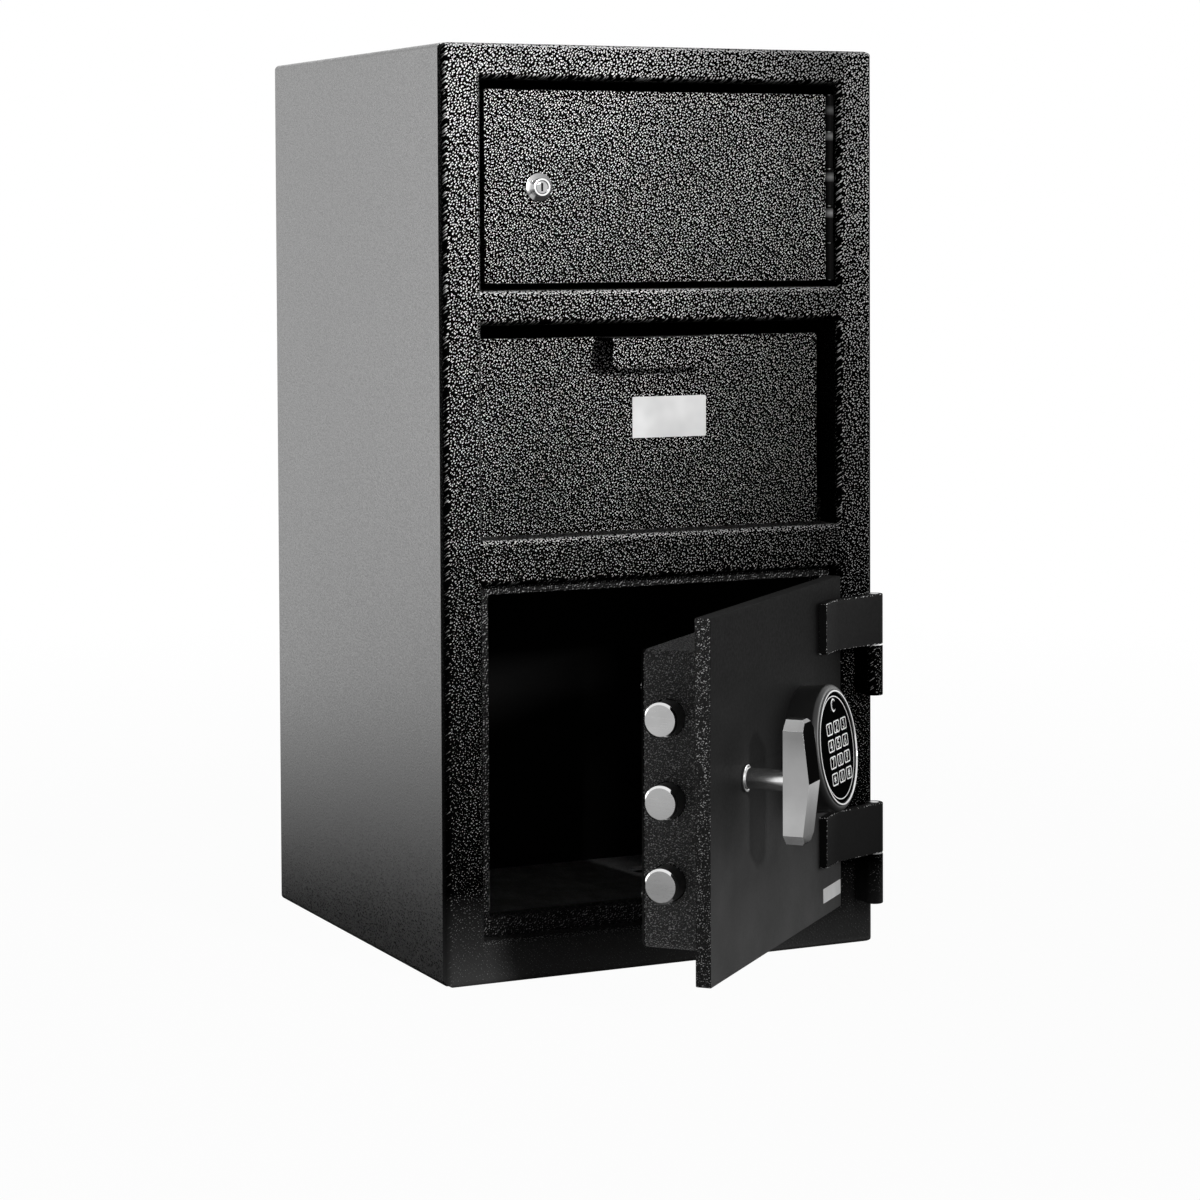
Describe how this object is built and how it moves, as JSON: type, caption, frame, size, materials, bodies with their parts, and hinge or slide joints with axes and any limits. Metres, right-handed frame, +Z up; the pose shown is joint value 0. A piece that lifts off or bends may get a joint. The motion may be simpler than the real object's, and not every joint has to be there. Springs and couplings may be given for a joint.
{
  "type": "drop safe",
  "caption": "Front-loading drop safe in steel: a small key locker over a tilting deposit hopper, and below them a safe door with sliding locking bolts, T handle and round keypad.",
  "frame": {"origin": "middle of the base's underside, under the body without its open door", "axes": "+X to the right seen from the front, +Y to the back (the doors face -Y), +Z up"},
  "size_m": [0.3556, 0.5706, 0.6858],
  "materials": {
    "powder_coat": "black powder coat with a fine wrinkle",
    "inner_coat": "plain black coat, satin",
    "mat": "matt grey",
    "bright_steel": "turned and polished",
    "chrome": "bright plating",
    "zinc": "zinc plated, dull",
    "plastic": "satin black",
    "keys": "satin dark grey",
    "key_rubber": "matt"
  },
  "bodies": {
    "cabinet": {"body_shell": "powder_coat", "front_frame": "powder_coat", "jamb_ring": "powder_coat", "locker_floor": "inner_coat", "anti_fish_baffle": "inner_coat", "floor_mat": "mat", "hopper_ears": "powder_coat", "upper_frame_hinge": "powder_coat", "lower_frame_hinge": "powder_coat", "hinge_pins": "bright_steel", "hinge_washers": "bright_steel", "locker_frame_leaf": "powder_coat", "locker_hinge_pin": "bright_steel"},
    "safe_door": {"safe_door_plate": "powder_coat", "door_pan": "powder_coat", "door_back_cover": "inner_coat", "cover_screws": "zinc", "upper_door_hinge": "powder_coat", "lower_door_hinge": "powder_coat", "handle_bush": "chrome", "carriage_studs": "zinc", "lock_case": "zinc", "keypad_housing": "plastic", "keypad_ring": "chrome", "keypad_face": "plastic", "keypad_lamp": "chrome", "keypad_membrane": "key_rubber"},
    "handle": {"handle_shaft": "chrome", "handle_grip": "chrome", "crank_arm": "zinc"},
    "boltwork": {"bolt_carriage": "zinc", "locking_bolts": "bright_steel"},
    "lock_bolt": {"lock_bolt": "bright_steel"},
    "locker": {"locker_door": "powder_coat", "locker_door_leaf": "powder_coat", "cam_lock_case": "chrome", "cam_lock_nut": "zinc"},
    "cam": {"cam_lock_plug": "chrome", "cam_lock_cam": "zinc"},
    "hopper": {"hopper_panel": "powder_coat", "hopper_cheeks": "powder_coat", "hopper_tray": "powder_coat", "hopper_rod": "bright_steel"},
    "key_1": {"key_1": "keys"},
    "key_2": {"key_2": "keys"},
    "key_3": {"key_3": "keys"},
    "key_4": {"key_4": "keys"},
    "key_5": {"key_5": "keys"},
    "key_6": {"key_6": "keys"},
    "key_7": {"key_7": "keys"},
    "key_8": {"key_8": "keys"},
    "key_9": {"key_9": "keys"},
    "key_star": {"key_star": "keys"},
    "key_0": {"key_0": "keys"},
    "key_hash": {"key_hash": "keys"}
  },
  "joints": [
    {"name": "safe_door_swing", "type": "hinge", "parent": "cabinet", "child": "safe_door", "pos_m": [0.1685, -0.1955, 0.1534], "axis": [0, 0, 1], "range_deg": [-42.5, 67.5]},
    {"name": "handle_turn", "type": "hinge", "parent": "safe_door", "child": "handle", "pos_m": [-0.02219, -0.34487, 0.168], "axis": [-0.6756, 0.7373, 0], "range_deg": [-60, 0]},
    {"name": "bolt_slide", "type": "slide", "parent": "safe_door", "child": "boltwork", "axis": [0.7373, 0.6756, 0], "range_m": [-0.02, 0]},
    {"name": "lock_bolt_slide", "type": "slide", "parent": "safe_door", "child": "lock_bolt", "axis": [0, 0, 1], "range_m": [-0.007, 0]},
    {"name": "locker_door_swing", "type": "hinge", "parent": "cabinet", "child": "locker", "pos_m": [0.1435, -0.1715, 0.58], "axis": [0, 0, 1], "range_deg": [0, 115]},
    {"name": "cam_turn", "type": "hinge", "parent": "locker", "child": "cam", "pos_m": [-0.101, -0.16, 0.5816], "axis": [0, -1, 0], "range_deg": [-90, 0]},
    {"name": "hopper_tilt", "type": "hinge", "parent": "cabinet", "child": "hopper", "pos_m": [0, -0.1398, 0.333], "axis": [1, 0, 0], "range_deg": [0, 45]},
    {"name": "key_1_press", "type": "slide", "parent": "safe_door", "child": "key_1", "axis": [-0.6706, 0.7318, -0.1219], "range_m": [0, 0.001], "stiffness_N_per_m": 400},
    {"name": "key_2_press", "type": "slide", "parent": "safe_door", "child": "key_2", "axis": [-0.6706, 0.7318, -0.1219], "range_m": [0, 0.001], "stiffness_N_per_m": 400},
    {"name": "key_3_press", "type": "slide", "parent": "safe_door", "child": "key_3", "axis": [-0.6706, 0.7318, -0.1219], "range_m": [0, 0.001], "stiffness_N_per_m": 400},
    {"name": "key_4_press", "type": "slide", "parent": "safe_door", "child": "key_4", "axis": [-0.6706, 0.7318, -0.1219], "range_m": [0, 0.001], "stiffness_N_per_m": 400},
    {"name": "key_5_press", "type": "slide", "parent": "safe_door", "child": "key_5", "axis": [-0.6706, 0.7318, -0.1219], "range_m": [0, 0.001], "stiffness_N_per_m": 400},
    {"name": "key_6_press", "type": "slide", "parent": "safe_door", "child": "key_6", "axis": [-0.6706, 0.7318, -0.1219], "range_m": [0, 0.001], "stiffness_N_per_m": 400},
    {"name": "key_7_press", "type": "slide", "parent": "safe_door", "child": "key_7", "axis": [-0.6706, 0.7318, -0.1219], "range_m": [0, 0.001], "stiffness_N_per_m": 400},
    {"name": "key_8_press", "type": "slide", "parent": "safe_door", "child": "key_8", "axis": [-0.6706, 0.7318, -0.1219], "range_m": [0, 0.001], "stiffness_N_per_m": 400},
    {"name": "key_9_press", "type": "slide", "parent": "safe_door", "child": "key_9", "axis": [-0.6706, 0.7318, -0.1219], "range_m": [0, 0.001], "stiffness_N_per_m": 400},
    {"name": "key_star_press", "type": "slide", "parent": "safe_door", "child": "key_star", "axis": [-0.6706, 0.7318, -0.1219], "range_m": [0, 0.001], "stiffness_N_per_m": 400},
    {"name": "key_0_press", "type": "slide", "parent": "safe_door", "child": "key_0", "axis": [-0.6706, 0.7318, -0.1219], "range_m": [0, 0.001], "stiffness_N_per_m": 400},
    {"name": "key_hash_press", "type": "slide", "parent": "safe_door", "child": "key_hash", "axis": [-0.6706, 0.7318, -0.1219], "range_m": [0, 0.001], "stiffness_N_per_m": 400}
  ],
  "couplings": [
    {"joint": "bolt_slide", "follows": "handle_turn", "m_per_rad": 0.019099}
  ]
}
